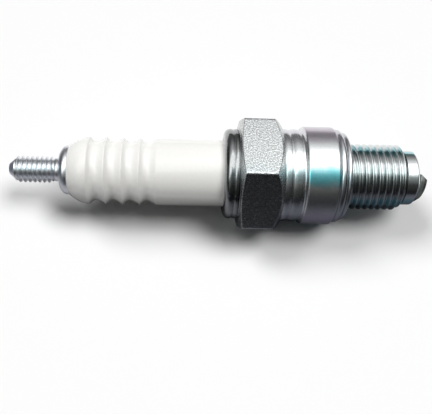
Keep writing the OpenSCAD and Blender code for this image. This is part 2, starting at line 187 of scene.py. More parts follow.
def broken_corner(here, before, after, edge):
    """Rows that go round a corner, from an edge length before it to an edge length after it."""
    back, back_length = towards(here, before)
    on, on_length = towards(here, after)
    rows = [here + np.minimum(HOLD * edge, back_length / 2) * back]
    for i in range(EDGE_STEPS + 1):
        share = i / EDGE_STEPS
        rows.append(here + edge * ((1 - share) ** 2 * back + share ** 2 * on))
    rows.append(here + np.minimum(HOLD * edge, on_length / 2) * on)
    return rows


def rows_of(outline):
    """Rows of stations and radii from an outline of corners: (station, radius, edge length)."""
    points = [np.stack([at_all_columns(x), at_all_columns(r)]) for x, r, _ in outline]
    rows = []
    for i, (_, _, edge) in enumerate(outline):
        if edge == 0 or i in (0, len(points) - 1):
            rows.append(points[i])
        else:
            rows += broken_corner(points[i], points[i - 1], points[i + 1], edge)
    return rows


print("rows round a broken corner:", EDGE_STEPS + 3)

# %% [markdown]
# ## The lathe
#
# This class stands in for the lathe. It collects rings of points, joins each ring to the one before it with
# a band of four-sided faces, and at last turns them into a mesh object. A tube closes on itself, over its
# outside and back through its bore, and a rod is closed with a point at each end, so that every piece is a
# solid.

# %% Lathe
def add_piece(name, points, faces):
    """A smooth mesh object from points in millimetres."""
    mesh = bpy.data.meshes.new(name)
    mesh.from_pydata([Vector(point) * MM for point in points], [], faces)
    mesh.validate()
    mesh.shade_smooth()
    piece = bpy.data.objects.new(name, mesh)
    scene.collection.objects.link(piece)
    return piece


class Lathe:
    """Collects rings of points and the faces between them."""

    def __init__(self):
        self.points = []
        self.faces = []
        self.first = None
        self.ring = None

    def add_ring(self, x, r):
        start = len(self.points)
        self.points += list(zip(at_all_columns(x), r * COS, r * SIN))
        return [start + j for j in range(COLUMNS)]

    def join(self, lower, upper):
        for j in range(COLUMNS):
            k = (j + 1) % COLUMNS
            self.faces.append((lower[j], lower[k], upper[k], upper[j]))

    def rows(self, outline):
        for x, r in rows_of(outline):
            ring = self.add_ring(x, r)
            if self.ring:
                self.join(self.ring, ring)
            self.first = self.first or ring
            self.ring = ring

    def close_ends(self):
        """Closes both ends of a rod with a point on the axis."""
        for ring in (self.first[::-1], self.ring):
            centre = len(self.points)
            self.points.append((self.points[ring[0]][0], 0.0, 0.0))
            self.faces += [(ring[j - 1], ring[j], centre) for j in range(COLUMNS)]

    def close_loop(self):
        """Closes a tube on itself."""
        self.join(self.ring, self.first)


print("lathe can:", [name for name in vars(Lathe) if not name.startswith("_")])

# %% [markdown]
# ## A rolled thread
#
# A thread is one ridge wound round a core. It could be a profile swept along a spiral, but then it would
# only stick in the core. In this grid the rows follow the helix instead: after a full turn, a row meets the
# row that lies one pitch further on. Rows that would run past either end share the points of the end ring.
# The ridge fades in and out as a cone cuts it on a real screw, and its crest and root are round because it
# is rolled.

# %% Ridge of a thread
THREAD_DEPTH = 0.613
HALF_RIDGE = (
    (0.00, 0.00), (0.07, 0.00), (0.12, 0.03), (0.17, 0.13),
    (0.28, 0.48), (0.39, 0.84), (0.43, 0.95), (0.47, 1.00),
)
RIDGE = HALF_RIDGE + tuple((1 - share, height) for share, height in HALF_RIDGE[:0:-1])
ROWS_PER_TURN = len(RIDGE)


def ridge_rows(lathe, ends, root_r, depth, pitch, base, fades):
    """Ids of the ridge's points, row by row, between the rings at both ends."""
    x0, x1 = ends
    lead, trail = fades
    low = lathe.ring
    high = lathe.add_ring(x1, at_all_columns(root_r))
    turns = math.ceil((x1 - base) / pitch) + 2
    rows = []
    for i in range(turns * ROWS_PER_TURN):
        share, height = RIDGE[i % ROWS_PER_TURN]
        row = []
        for j in range(COLUMNS):
            x = base + pitch * (i // ROWS_PER_TURN + share + ANGLES[j] / FULL_TURN)
            if x <= x0 or x >= x1:
                row.append(low[j] if x <= x0 else high[j])
                continue
            room = min(1.0, (x - x0) / lead, (x1 - x) / trail)
            r = root_r + depth * min(height, room)
            row.append(len(lathe.points))
            lathe.points.append((x, r * COS[j], r * SIN[j]))
        rows.append(row)
    lathe.ring = high
    return rows


print("rows in a turn of a thread:", ROWS_PER_TURN)

# %% Winding a thread
Crest = namedtuple("Crest", "x angle")


def first_base(x0, pitch, crest):
    """Station at angle 0 of a turn that ends before x0, in step with a crest at a known place."""
    base = crest.x - pitch * (crest.angle / FULL_TURN + 0.5)
    return base - pitch * math.ceil((base + pitch - x0) / pitch)


def add_thread(lathe, ends, major_r, pitch, crest, fades):
    """Winds a right-hand ridge between two stations and fades it in and out over two lengths."""
    depth = THREAD_DEPTH * pitch
    root_r = major_r - depth
    start = lathe.add_ring(ends[0], at_all_columns(root_r))
    lathe.join(lathe.ring, start)
    lathe.ring = start
    rows = ridge_rows(lathe, ends, root_r, depth, pitch, first_base(ends[0], pitch, crest), fades)
    seam = [row[0] for row in rows[ROWS_PER_TURN:]] + [rows[-1][0]] * ROWS_PER_TURN
    for i in range(len(rows) - 1):
        here = rows[i] + [seam[i]]
        above = rows[i + 1] + [seam[i + 1]]
        for j in range(COLUMNS):
            loop = tuple(dict.fromkeys((here[j], here[j + 1], above[j + 1], above[j])))
            if len(loop) > 2:
                lathe.faces.append(loop)


print("thread depth at a pitch of 1:", THREAD_DEPTH)

# %% [markdown]
# ## The shell
#
# The shell is one piece of steel. From the left it has a lip that is rolled over the ceramic, the hexagon
# with a crown turned on each end, a waist that buckled a little when the lip was pressed home, the barrel
# that presses on the gasket, the thread, and a plain pilot. The frame gives the end of the shell, and the
# other stations are counted back from there, so that the skin stays with the solid.

# %% Stations of the shell
REACH = 12.7
PILOT_L = 2.1
BARREL_L = 4.49
WAIST_L = 3.39
HEX_L = 6.17
LIP_L = 2.25
end_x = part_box("shell")[1][0] / MM
pilot_x = end_x - PILOT_L
seat_x = end_x - REACH
barrel_x = seat_x - BARREL_L
waist_x = barrel_x - WAIST_L
hex_x = waist_x - HEX_L
lip_x = hex_x - LIP_L
stations = (lip_x, hex_x, waist_x, barrel_x, seat_x, pilot_x, end_x)
print("stations of the shell:", [round(x, 2) for x in stations])

# %% [markdown]
# ## The hexagon
#
# The hexagon is drawn with the bar and keeps slightly round corners. A cylinder with six sides and a bevel
# would do for it alone, but here it has to join the round parts. Seen from the axis, a flat is a radius
# that grows towards the corners, and a corner is a small circle whose centre lies inside, so one formula
# gives each column its radius.

# %% Hexagon
HEX_ACROSS_FLATS = 16.0
HEX_CORNER_R = 0.45


def hexagon_radii():
    """Radius of the hexagon with rounded corners at each column, one flat facing up."""
    half = HEX_ACROSS_FLATS / 2
    half_sector = math.radians(HEX_SECTOR / 2)
    from_corner = np.radians(off_corner(ANGLES))
    off_flat = half_sector - from_corner
    flat = half / np.cos(off_flat)
    inner = half - HEX_CORNER_R
    centre = inner / math.cos(half_sector)
    inside = np.maximum(HEX_CORNER_R ** 2 - (centre * np.sin(from_corner)) ** 2, 0)
    rounded = centre * np.cos(from_corner) + np.sqrt(inside)
    flat_end = math.atan(inner * math.tan(half_sector) / half)
    return np.where(off_flat < flat_end, flat, rounded)


hexagon = hexagon_radii()
print("hexagon across its corners:", round(2 * hexagon.max(), 3))

# %% [markdown]
# ## The rolled lip
#
# The lip starts as a thin tube, and a press rolls it over the ceramic. That leaves a full round edge and
# two low beads behind it, as cloth wrinkles when it is pushed. A sculpt could show this, but two formulas
# hold the size better: a quarter of an oval for the edge, and parabolas for the beads. The buckled waist is
# made the same way.

# %% Rolled lip
LIP_R = 6.75
LIP_MOUTH_R = 5.02
LIP_ROUND_L = 1.0
LIP_FULL = 0.6
LIP_STEPS = 14
BEAD_DIP = 0.1
BEAD_L = 0.45
SWELL_STEPS = 10


def quarter_oval(x0, r0, length, rise, steps, full=1.0):
    """A quarter of an oval, steep at first and then level; a power below 1 makes it fuller."""
    angles = [math.pi / 2 * i / steps for i in range(1, steps + 1)]
    return [(x0 + length * (1 - math.cos(a)), r0 + rise * math.sin(a) ** full, 0) for a in angles]


def swelling(r, drop, x0, x1, start=-1.0):
    """A parabola that drops at x0 and x1, or only at x1 where it starts from its top, at 0."""
    points = []
    for i in range(1, SWELL_STEPS + 1):
        share = i / SWELL_STEPS
        off_top = start + (1 - start) * share
        points.append((x0 + (x1 - x0) * share, r - drop * off_top ** 2, 0))
    return points


def lip_outline():
    top_x = lip_x + LIP_ROUND_L
    dip_x = top_x + BEAD_L
    edge = quarter_oval(lip_x, LIP_MOUTH_R, LIP_ROUND_L, LIP_R - LIP_MOUTH_R, LIP_STEPS, LIP_FULL)
    beads = swelling(LIP_R, BEAD_DIP, top_x, dip_x, 0.0) + swelling(LIP_R, BEAD_DIP, dip_x, hex_x)
    return edge + beads


print("corners in the lip's outline:", len(lip_outline()))

# %% [markdown]
# ## Turning the shell
#
# Now the outside is followed from the lip to the groove behind the gasket, then comes the thread, and then
# the way leads over the pilot and the end face back through the bores. The bores are hardly seen, but with
# them the shell is a real tube with room for the ceramic.

# %% Outside of the shell
HEX_FACE_R = 7.55
CROWN_LEFT = math.tan(math.radians(17))
CROWN_RIGHT = math.tan(math.radians(38))
CROWN_EDGE = 0.08
HEX_EDGE_LEFT = 0.07
HEX_EDGE_RIGHT = 0.1
WAIST_R = 6.95
WAIST_HOLLOW = 0.15
WAIST_GROOVE_L = 1.3
BARREL_R = 7.37
BARREL_SLOPE_L = 0.4
BARREL_EDGE = 0.22
RELIEF_R = 4.3
RELIEF_EDGE = 0.1
THREAD_START = 0.1


def shell_outside():
    groove_x = waist_x + WAIST_GROOVE_L
    slope_x = barrel_x - BARREL_SLOPE_L
    return [
        *lip_outline(),
        (hex_x, HEX_FACE_R, CROWN_EDGE),
        (hex_x + (hexagon - HEX_FACE_R) * CROWN_LEFT, hexagon, HEX_EDGE_LEFT),
        (waist_x - (hexagon - HEX_FACE_R) * CROWN_RIGHT, hexagon, HEX_EDGE_RIGHT),
        (waist_x, HEX_FACE_R, CROWN_EDGE),
        (waist_x, WAIST_R - WAIST_HOLLOW, 0),
        *swelling(WAIST_R, WAIST_HOLLOW, waist_x, groove_x),
        *swelling(WAIST_R, WAIST_HOLLOW, groove_x, slope_x),
        (barrel_x, BARREL_R, BARREL_EDGE),
        (seat_x, BARREL_R, BARREL_EDGE),
        (seat_x, RELIEF_R, RELIEF_EDGE),
        (THREAD_START, RELIEF_R, 0),
    ]


print("corners on the outside:", len(shell_outside()))

# %% Inside of the shell
RUN_OUT_R = 3.9
RUN_OUT_L = 0.28
RUN_OUT_HOLD = 0.03
RUN_OUT_EDGE = 0.02
PILOT_R = mounts["pilot"]["dims"]["r_mm"]
PILOT_CHAMFER = 0.3
PILOT_ROOT_EDGE = 0.04
PILOT_EDGE = 0.1
END_EDGE = 0.06
NOSE_BORE_R = 3.2
BODY_BORE_R = 5.9
BORE_EDGE = 0.05
LEDGE_L = 3.3
LIP_T = 0.85
MOUTH_L = 0.15
ledge_x = seat_x - LEDGE_L


def shell_inside():
    groove_end = pilot_x + RUN_OUT_L
    under_lip = lip_x + LIP_T
    return [
        (pilot_x, RUN_OUT_R, 0),
        (pilot_x + RUN_OUT_HOLD, RUN_OUT_R, RUN_OUT_EDGE),
        (groove_end, RUN_OUT_R, RUN_OUT_EDGE),
        (groove_end, PILOT_R, PILOT_ROOT_EDGE),
        (end_x - PILOT_CHAMFER, PILOT_R, PILOT_EDGE),
        (end_x, PILOT_R - PILOT_CHAMFER, END_EDGE),
        (end_x, NOSE_BORE_R, END_EDGE),
        (ledge_x + BODY_BORE_R - NOSE_BORE_R, NOSE_BORE_R, BORE_EDGE),
        (ledge_x, BODY_BORE_R, BORE_EDGE),
        (under_lip + BODY_BORE_R - LIP_MOUTH_R, BODY_BORE_R, BORE_EDGE),
        (under_lip, LIP_MOUTH_R, BORE_EDGE),
        (lip_x + MOUTH_L, LIP_MOUTH_R, 0),
    ]


print("corners on the inside:", len(shell_inside()))

# %% Shell
THREAD_R = mounts["engine_thread"]["dims"]["r_mm"]
THREAD_PITCH = 1.0
THREAD_CREST = Crest(x=seat_x + 3.42, angle=129)
THREAD_FADES = (0.7, 0.5)


def make_shell():
    lathe = Lathe()
    lathe.rows(shell_outside())
    add_thread(lathe, (THREAD_START, pilot_x), THREAD_R, THREAD_PITCH, THREAD_CREST, THREAD_FADES)
    lathe.rows(shell_inside())
    lathe.close_loop()
    return add_piece("shell_skin", lathe.points, lathe.faces)


shell_skin = make_shell()
print("shell faces:", len(shell_skin.data.polygons))

# %% [markdown]
# ## The insulator
#
# The insulator is alumina ceramic under a white glaze. Its head has a round shoulder and four shallow
# waves, each with a steep side and a gentle side, which lengthen the way for stray current. A Wave modifier
# would make them even, so here a sine is bent by a power, until each crest falls steeply towards the shell
# and gently towards the terminal. Below the lip only its fit to the other pieces matters, so it is kept
# simple there.

# %% Insulator head
INSULATOR_R = 4.99
HEAD_L = 22.75
HEAD_TOP_R = 3.72
HEAD_EDGE = 0.08
HEAD_STEPS = 24
SHOULDER_L = 2.95
SHOULDER_FULL = 0.9
RIB_COUNT = 4
RIB_PITCH = 2.505
RIB_DEPTH = 0.62
RIB_LEAN = 0.756
RIB_SHARP = 1.2
head_x = lip_x - HEAD_L


def insulator_head():
    """The shoulder and the ribs, from the top of the head to its plain part."""
    shares = [i / HEAD_STEPS for i in range(1, HEAD_STEPS + 1)]
    points = [(head_x, HEAD_TOP_R, HEAD_EDGE)]
    for share in shares:
        rise = math.sin(math.pi / 2 * share ** SHOULDER_FULL)
        points.append((head_x + share * SHOULDER_L, HEAD_TOP_R + (INSULATOR_R - HEAD_TOP_R) * rise, 0))
    ribs_x = head_x + SHOULDER_L
    for rib in range(RIB_COUNT):
        for share in shares:
            wave = max(0.0, math.sin(math.pi * share ** RIB_LEAN)) ** RIB_SHARP
            points.append((ribs_x + (rib + share) * RIB_PITCH, INSULATOR_R - RIB_DEPTH * wave, 0))
    return points


print("corners in the head's outline:", len(insulator_head()))

# %% Insulator
BODY_R = 5.75
BODY_L = 6.0
CERAMIC_EDGE = 0.2
SEAT_WASHER_T = 0.3
NOSE_R = 3.0
NOSE_ROOT_L = 3.0
NOSE_TIP_R = 2.05
NOSE_RECESS = 0.6
STUD_BORE_R = 1.75
WIRE_BORE_R = 1.3
WIRE_BORE_EDGE = 0.1
GLASS_GAP = 0.03


def make_insulator():
    step_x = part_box("glass_seal")[1][0] / MM + GLASS_GAP
    cone_x = ledge_x - SEAT_WASHER_T * math.sqrt(2) + BODY_BORE_R
    body_x = cone_x - BODY_R - BODY_L
    nose_x = end_x - NOSE_RECESS
    lathe = Lathe()
    lathe.rows([
        (head_x, STUD_BORE_R, 0),
        *insulator_head(),
        (body_x - (BODY_R - INSULATOR_R), INSULATOR_R, CERAMIC_EDGE),
        (body_x, BODY_R, CERAMIC_EDGE),
        (cone_x - BODY_R, BODY_R, CERAMIC_EDGE),
        (cone_x - NOSE_R, NOSE_R, CERAMIC_EDGE),
        (seat_x + NOSE_ROOT_L, NOSE_R, CERAMIC_EDGE),
        (nose_x, NOSE_TIP_R, (NOSE_TIP_R - WIRE_BORE_R) / 2),
        (nose_x, WIRE_BORE_R, WIRE_BORE_EDGE),
        (step_x + STUD_BORE_R - WIRE_BORE_R, WIRE_BORE_R, BORE_EDGE),
        (step_x, STUD_BORE_R, BORE_EDGE),
    ])
    lathe.close_loop()
    return add_piece("insulator_skin", lathe.points, lathe.faces)


insulator_skin = make_insulator()
print("insulator faces:", len(insulator_skin.data.polygons))

# %% [markdown]
# ## The terminal stud
#
# The stud is steel with a rolled M4 thread, a plain neck and a domed flange that sits on the ceramic. Its
# shank runs down the insulator's bore to the glass. The cone of its point cuts the first turns of the
# thread, so the thread's fade here is worked out from that cone.

# %% Terminal stud
STUD_R = mounts["terminal_thread"]["dims"]["r_mm"]
STUD_PITCH = 0.7
STUD_THREAD_L = 6.65
STUD_CREST = Crest(x=seat_x - 45.62, angle=210)
STUD_TRAIL = 0.5
STUD_TIP_R = 0.82
STUD_TIP_EDGE = 0.1
STUD_POINT_L = 1.3
STUD_NECK_R = 1.72
STUD_NECK_L = 0.65
NECK_EDGE = 0.03
NECK_SLOPE_L = 0.05
FLANGE_R = 3.66
FLANGE_DOME_H = 1.25
FLANGE_RIM_H = 0.3
FLANGE_EDGE = 0.08
DOME_STEPS = 16
SHANK_R = 1.55
SHANK_EDGE = 0.1
JOIN = 0.02
shank_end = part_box("terminal_stud")[1][0] / MM


def make_stud():
    flange_x = head_x - FLANGE_RIM_H - FLANGE_DOME_H
    neck_x = flange_x - STUD_NECK_L
    tip_x = neck_x - STUD_THREAD_L
    root_r = STUD_R - THREAD_DEPTH * STUD_PITCH
    slope = STUD_POINT_L / (STUD_R - STUD_TIP_R)
    start_x = tip_x + (root_r - STUD_TIP_R) * slope
    fades = ((STUD_R - root_r) * slope, STUD_TRAIL)
    lathe = Lathe()
    lathe.rows([
        (tip_x, STUD_TIP_R / 2, 0),
        (tip_x, STUD_TIP_R, STUD_TIP_EDGE),
        (start_x - JOIN, root_r - JOIN, 0),
    ])
    add_thread(lathe, (start_x, neck_x), STUD_R, STUD_PITCH, STUD_CREST, fades)
    lathe.rows([
        (neck_x + NECK_SLOPE_L, STUD_NECK_R, NECK_EDGE),
        (flange_x, STUD_NECK_R, FLANGE_EDGE),
        *quarter_oval(flange_x, STUD_NECK_R, FLANGE_DOME_H, FLANGE_R - STUD_NECK_R, DOME_STEPS),
        (head_x, FLANGE_R, FLANGE_EDGE),
        (head_x, SHANK_R, BORE_EDGE),
        (shank_end, SHANK_R, SHANK_EDGE),
        (shank_end, SHANK_R / 2, 0),
    ])
    lathe.close_ends()
    return add_piece("stud_skin", lathe.points, lathe.faces)


stud_skin = make_stud()
print("stud faces:", len(stud_skin.data.polygons))

# %% [markdown]
# ## The gasket
#
# The gasket is a ring of thin steel folded into an S and rolled at its free edge, so that it crushes when
# the plug is tightened. A Solidify modifier on a folded line would be quick, but it pinches at tight folds.
# So the section is drawn as the outline of the folded strip, out along one face of the sheet and back along
# the other.

# %% Gasket
GASKET_R = 7.05
GASKET_LIP_R = 6.6
GASKET_SHEET = 0.44
GASKET_SPACE = 0.3
GASKET_ROOM = 0.25
GASKET_SEAM = 0.05
GASKET_EDGE = 0.1
ROLL_INSIDE_L = 0.25
ROLL_EDGE = 0.05
ROLL_START = -100
FOLD_STEPS = 10


def arc(x, r, radius, start, end, steps):
    """Places on an arc as (station, radius, angle), with angles in degrees from outward towards +X."""
    angles = [math.radians(start + (end - start) * i / steps) for i in range(steps + 1)]
    return [(x + radius * math.sin(a), r + radius * math.cos(a), a) for a in angles]


def fold(x, r, radius, start, end):
    return [(at_x, at_r, 0) for at_x, at_r, _ in arc(x, r, radius, start, end, FOLD_STEPS)]


def make_gasket():
    x0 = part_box("gasket")[0][0] / MM
    x1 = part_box("gasket")[1][0] / MM
    layer = GASKET_SHEET + GASKET_SPACE
    gap = GASKET_SPACE / 2
    bend = gap + GASKET_SHEET
    inner = RELIEF_R + GASKET_ROOM
    outer_r = GASKET_R - bend
    inner_r = inner + bend
    roll = (layer - GASKET_SEAM) / 2
    roll_r = GASKET_LIP_R - roll
    first_x = x0 + bend
    second_x = first_x + layer
    lathe = Lathe()
    lathe.rows([
        (x0, inner, GASKET_EDGE),
        *fold(first_x, outer_r, bend, -90, 90),
        *fold(second_x, inner_r, gap, -90, -270)[:-1],
        (second_x + gap, roll_r - ROLL_INSIDE_L, ROLL_EDGE),
        *fold(x1 - roll, roll_r, roll, ROLL_START, 90),
        *fold(second_x, inner_r, bend, 90, 270)[:-1],
        (first_x + gap, inner_r, 0),
        *fold(first_x, outer_r, gap, 90, -90),
        (x0 + GASKET_SHEET, inner, GASKET_EDGE),
    ])
    lathe.close_loop()
    return add_piece("gasket_skin", lathe.points, lathe.faces)


gasket_skin = make_gasket()
print("gasket faces:", len(gasket_skin.data.polygons))

# %% [markdown]
# ## The ground electrode
#
# The ground electrode is a strip of nickel alloy, welded to the end of the shell, bent sharply at first and
# then in a long curve until its tip lies across the centre electrode. A curve object with a bevel shape
# could sweep it, but its tip is cut at a slant and its edges are rounded, so the sweep is written out. Its
# path is two arcs.

# %% Path of the strap
STRAP_T = 1.2
STRAP_EDGE_GAP = 0.2
STRAP_STUB = 0.05
SHARP_BEND_R = 0.7
SHARP_BEND_TO = 50
SHARP_BEND_STEPS = 8
LONG_BEND_R = 5.0
LONG_BEND_TO = 78
LONG_BEND_STEPS = 18


def strap_path():
    """Places along the strap's middle: (distance past the shell's end, distance from the axis, slope)."""
    root_r = PILOT_R - PILOT_CHAMFER - STRAP_EDGE_GAP - STRAP_T / 2
    centre_x = STRAP_STUB
    centre_r = root_r - SHARP_BEND_R
    sharp = arc(centre_x, centre_r, SHARP_BEND_R, 0, SHARP_BEND_TO, SHARP_BEND_STEPS)
    turn = math.radians(SHARP_BEND_TO)
    centre_x -= (LONG_BEND_R - SHARP_BEND_R) * math.sin(turn)
    centre_r -= (LONG_BEND_R - SHARP_BEND_R) * math.cos(turn)
    long = arc(centre_x, centre_r, LONG_BEND_R, SHARP_BEND_TO, LONG_BEND_TO, LONG_BEND_STEPS)
    return [(0.0, root_r, 0.0)] + sharp + long[1:]


print("places on the strap's path:", len(strap_path()))

# %% [markdown]
# ## The strap's section and tip
#
# The strip is rolled wire: a little narrower on the outside of its bend, and rounder at its inner edges.
# Each ring of the sweep is this section, set square to the path. The last rings draw in by a small inset,
# which breaks the edge all round the slanted tip.

# %% Section of the strap
STRAP_W = 2.3
STRAP_TAPER = math.tan(math.radians(13))
STRAP_INNER_EDGE = 0.35
STRAP_OUTER_EDGE = 0.12
STRAP_LEAST_EDGE = 0.03
SECTION_STEPS = 6


def strap_section(inset):
    """Points as (across the thickness, across the width), drawn in by an inset."""
    half_t = STRAP_T / 2 - inset
    inner_w = STRAP_W / 2 - inset
    outer_w = inner_w - STRAP_T * STRAP_TAPER
    corners = [
        (Vector((half_t, outer_w)), STRAP_OUTER_EDGE),
        (Vector((-half_t, inner_w)), STRAP_INNER_EDGE),
        (Vector((-half_t, -inner_w)), STRAP_INNER_EDGE),
        (Vector((half_t, -outer_w)), STRAP_OUTER_EDGE),
    ]
    points = []
    for i, (here, full_edge) in enumerate(corners):
        back = (corners[i - 1][0] - here).normalized()
        on = (corners[(i + 1) % len(corners)][0] - here).normalized()
        edge = max(full_edge - inset, STRAP_LEAST_EDGE)
        for k in range(SECTION_STEPS + 1):
            share = k / SECTION_STEPS
            points.append(here + edge * ((1 - share) ** 2 * back + share ** 2 * on))
    return points


print("points in the strap's section:", len(strap_section(0)))

# %% Ground electrode
STRAP_ANGLE = math.radians(15)
STRAP_TIP_L = 0.2
STRAP_TIP_SLANT = math.tan(math.radians(30))
TIP_EDGE = 0.06
TIP_RINGS = ((2, 0), (1, 0), (0.3, 0.3), (0, 1), (0, 2), (0, 3))


def strap_rings():
    """(place, inset, length past it, slant) of each ring; those at the tip go by multiples of its edge."""
    path = strap_path()
    rings = [(place, 0.0, 0.0, 0.0) for place in path]
    for short, inset in TIP_RINGS:
        rings.append((path[-1], inset * TIP_EDGE, STRAP_TIP_L - short * TIP_EDGE, STRAP_TIP_SLANT))
    return rings


def strap_points():
    outward = Vector((0, -math.cos(STRAP_ANGLE), -math.sin(STRAP_ANGLE)))
    along = Vector((1, 0, 0))
    across = along.cross(outward)
    points = []
    for (x, r, slope), inset, length, slant in strap_rings():
        normal = outward * math.cos(slope) + along * math.sin(slope)
        ahead = along * math.cos(slope) - outward * math.sin(slope)
        middle = along * (end_x + x) + outward * r + ahead * length
        for t, w in strap_section(inset):
            points.append(middle + normal * t + across * w + ahead * (STRAP_T / 2 - t) * slant)
    return points


def make_strap():
    count = len(strap_section(0))
    last = len(strap_rings()) - 1
    faces = [tuple(reversed(range(count))), tuple(range(last * count, (last + 1) * count))]
    for i in range(last):
        for j in range(count):
            k = (j + 1) % count
            faces.append((i * count + j, i * count + k, (i + 1) * count + k, (i + 1) * count + j))
    strap = add_piece("strap_skin", strap_points(), faces)
    lengths = np.repeat(np.linspace(0, 1, last + 1), count)
    turns = np.tile(np.arange(count) / count * 2 * math.pi, last + 1)
    run = strap.data.attributes.new("run", "FLOAT_VECTOR", "POINT")
    run.data.foreach_set("vector", np.stack([lengths, np.cos(turns), np.sin(turns)], 1).ravel())
    return strap


strap_skin = make_strap()
print("strap faces:", len(strap_skin.data.polygons))

# %% [markdown]
# ## Bodies and slots
#
# The frame names two bodies: the plug, and the gasket that turns on it. Each skin rides with its body,
# takes the place of its CAD node and names its material slot. The centre electrode and the pieces deep
# inside keep their CAD meshes, since they are plain turned shapes.

# %% Bodies and slots
SKINS = {
    "shell": (shell_skin, "plug", "plated_steel"),
    "insulator": (insulator_skin, "plug", "glazed_alumina"),
    "terminal_stud": (stud_skin, "plug", "stud_steel"),
    "gasket": (gasket_skin, "gasket", "gasket_steel"),
    "ground_electrode": (strap_skin, "plug", "nickel"),
}
for node, (skin, body, slot) in SKINS.items():
    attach(skin, body)
    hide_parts(node)
print("skins:", sorted(SKINS))

# %% [markdown]
# ## Shader helpers
#
# A material is a small tree of nodes. It can be wired by hand in the shader editor, but a script can be
# read and run again. These helpers add a node, feed its sockets with a number, a colour or another socket,
# and make a node group with named sockets, so that the finishes below read as short lists.

# %% Shader helpers
def feed(tree, value, socket):
    if isinstance(value, bpy.types.NodeSocket):
        tree.links.new(value, socket)
    else:
        socket.default_value = (*value, 1) if socket.type == "RGBA" else value


def add(tree, kind, inputs=(), **settings):
    node = tree.nodes.new(kind)
    for name, value in settings.items():
        setattr(node, name, value)
    for name, value in dict(inputs).items():
        feed(tree, value, node.inputs[name])
    return node


def maths(tree, operation, a, b=0.0):
    return add(tree, "ShaderNodeMath", {0: a, 1: b}, operation=operation).outputs[0]


def mix_colours(tree, share, a, b, blend="MIX"):
    node = add(tree, "ShaderNodeMix", {0: share, 6: a, 7: b}, data_type="RGBA", blend_type=blend)
    return node.outputs[2]


def spread(tree, value, low, high, to_low=0.0, to_high=1.0):
    inputs = {"Value": value, "From Min": low, "From Max": high, "To Min": to_low, "To Max": to_high}
    return add(tree, "ShaderNodeMapRange", inputs).outputs[0]


def place_on_piece(tree):
    return add(tree, "ShaderNodeTexCoord").outputs["Object"]


def split(tree, vector):
    return add(tree, "ShaderNodeSeparateXYZ", {0: vector}).outputs


print("Blender:", bpy.app.version_string)

# %% Node groups
COLOUR = "NodeSocketColor"
NUMBER = "NodeSocketFloat"


def new_group(name, inputs, outputs):
    """A node group with its tree, the sockets it is given and the sockets of its result."""
    group = bpy.data.node_groups.new(name, "ShaderNodeTree")
    for socket, kind, value in inputs:
        made = group.interface.new_socket(name=socket, in_out="INPUT", socket_type=kind)
        made.default_value = (*value, 1) if kind == COLOUR else value
    for socket, kind in outputs:
        group.interface.new_socket(name=socket, in_out="OUTPUT", socket_type=kind)
    given = group.nodes.new("NodeGroupInput").outputs
    result = group.nodes.new("NodeGroupOutput").inputs
    return group, given, result


def use_group(tree, group, inputs):
    return add(tree, "ShaderNodeGroup", inputs, node_tree=group).outputs[0]


print("socket kinds:", COLOUR, NUMBER)

# %% [markdown]
# ## Grain and turning lines
#
# Two marks come back on most of the pieces. Grain is a fine mottling of the surface, with the size of its
# grains in millimetres. Turning lines run round the axis, where the lathe's tool left them. Both could be
# image textures, but noise that is fixed to the piece needs no unwrapping and stays sharp close up. As node
# groups, they are built once and set to another size in each material.

# %% Grain and turning lines
GRAIN_DETAIL = 3.0
GRAIN_ROUGHNESS = 0.6
GRAIN_NARROWING = 0.4
LINE_STRETCH = 0.06
LINE_DETAIL = 2.0
NOISE_RANGE = (0.3, 0.7)


def make_grain():
    inputs = [("Size", NUMBER, 0.3), ("Contrast", NUMBER, 0.5)]
    group, given, result = new_group("grain", inputs, [("Grain", NUMBER)])
    scale = maths(group, "DIVIDE", 1 / MM, given["Size"])
    settings = {"Scale": scale, "Detail": GRAIN_DETAIL, "Roughness": GRAIN_ROUGHNESS}
    noise = add(group, "ShaderNodeTexNoise", {"Vector": place_on_piece(group), **settings})
    half = maths(group, "SUBTRACT", 0.5, maths(group, "MULTIPLY", given["Contrast"], GRAIN_NARROWING))
    low = maths(group, "SUBTRACT", 0.5, half)
    high = maths(group, "ADD", 0.5, half)
    feed(group, spread(group, noise.outputs[0], low, high), result["Grain"])
    return group


def make_lines():
    group, given, result = new_group("turning_lines", [("Pitch", NUMBER, 0.1)], [("Lines", NUMBER)])
    across = maths(group, "DIVIDE", 1 / MM, given["Pitch"])
    around = LINE_STRETCH / MM
    stretch = add(group, "ShaderNodeCombineXYZ", {"X": across, "Y": around, "Z": around})
    both = {0: place_on_piece(group), 1: stretch.outputs[0]}
    vector = add(group, "ShaderNodeVectorMath", both, operation="MULTIPLY").outputs[0]
    noise = add(group, "ShaderNodeTexNoise", {"Vector": vector, "Scale": 1.0, "Detail": LINE_DETAIL})
    feed(group, spread(group, noise.outputs[0], *NOISE_RANGE), result["Lines"])
    return group


GRAIN = make_grain()
LINES = make_lines()
print("groups:", GRAIN.name, LINES.name)

# %% [markdown]
# ## The tint of the plate
#
# Zinc plate is sealed in a thin clear film that shows blue and pink, like oil on water, and the colour
# drifts with the film's thickness. Principled's thin film could give it, but it varies with the view and is
# hard to place. Here a cosine of the angle round the axis picks blue at its tops and pink at its bottoms,
# and a slow cloud of noise bends the bands.

# %% Tint of the plate
TINT_BANDS = 3
TINT_CENTRE = math.radians(121)
TINT_CLOUD = 0.22
TINT_DETAIL = 2.0
TINT_DRIFT = 1.2
TINT_BLUE_FROM = (0.74, 0.99)
TINT_PINK_FROM = (-0.4, -1.0)


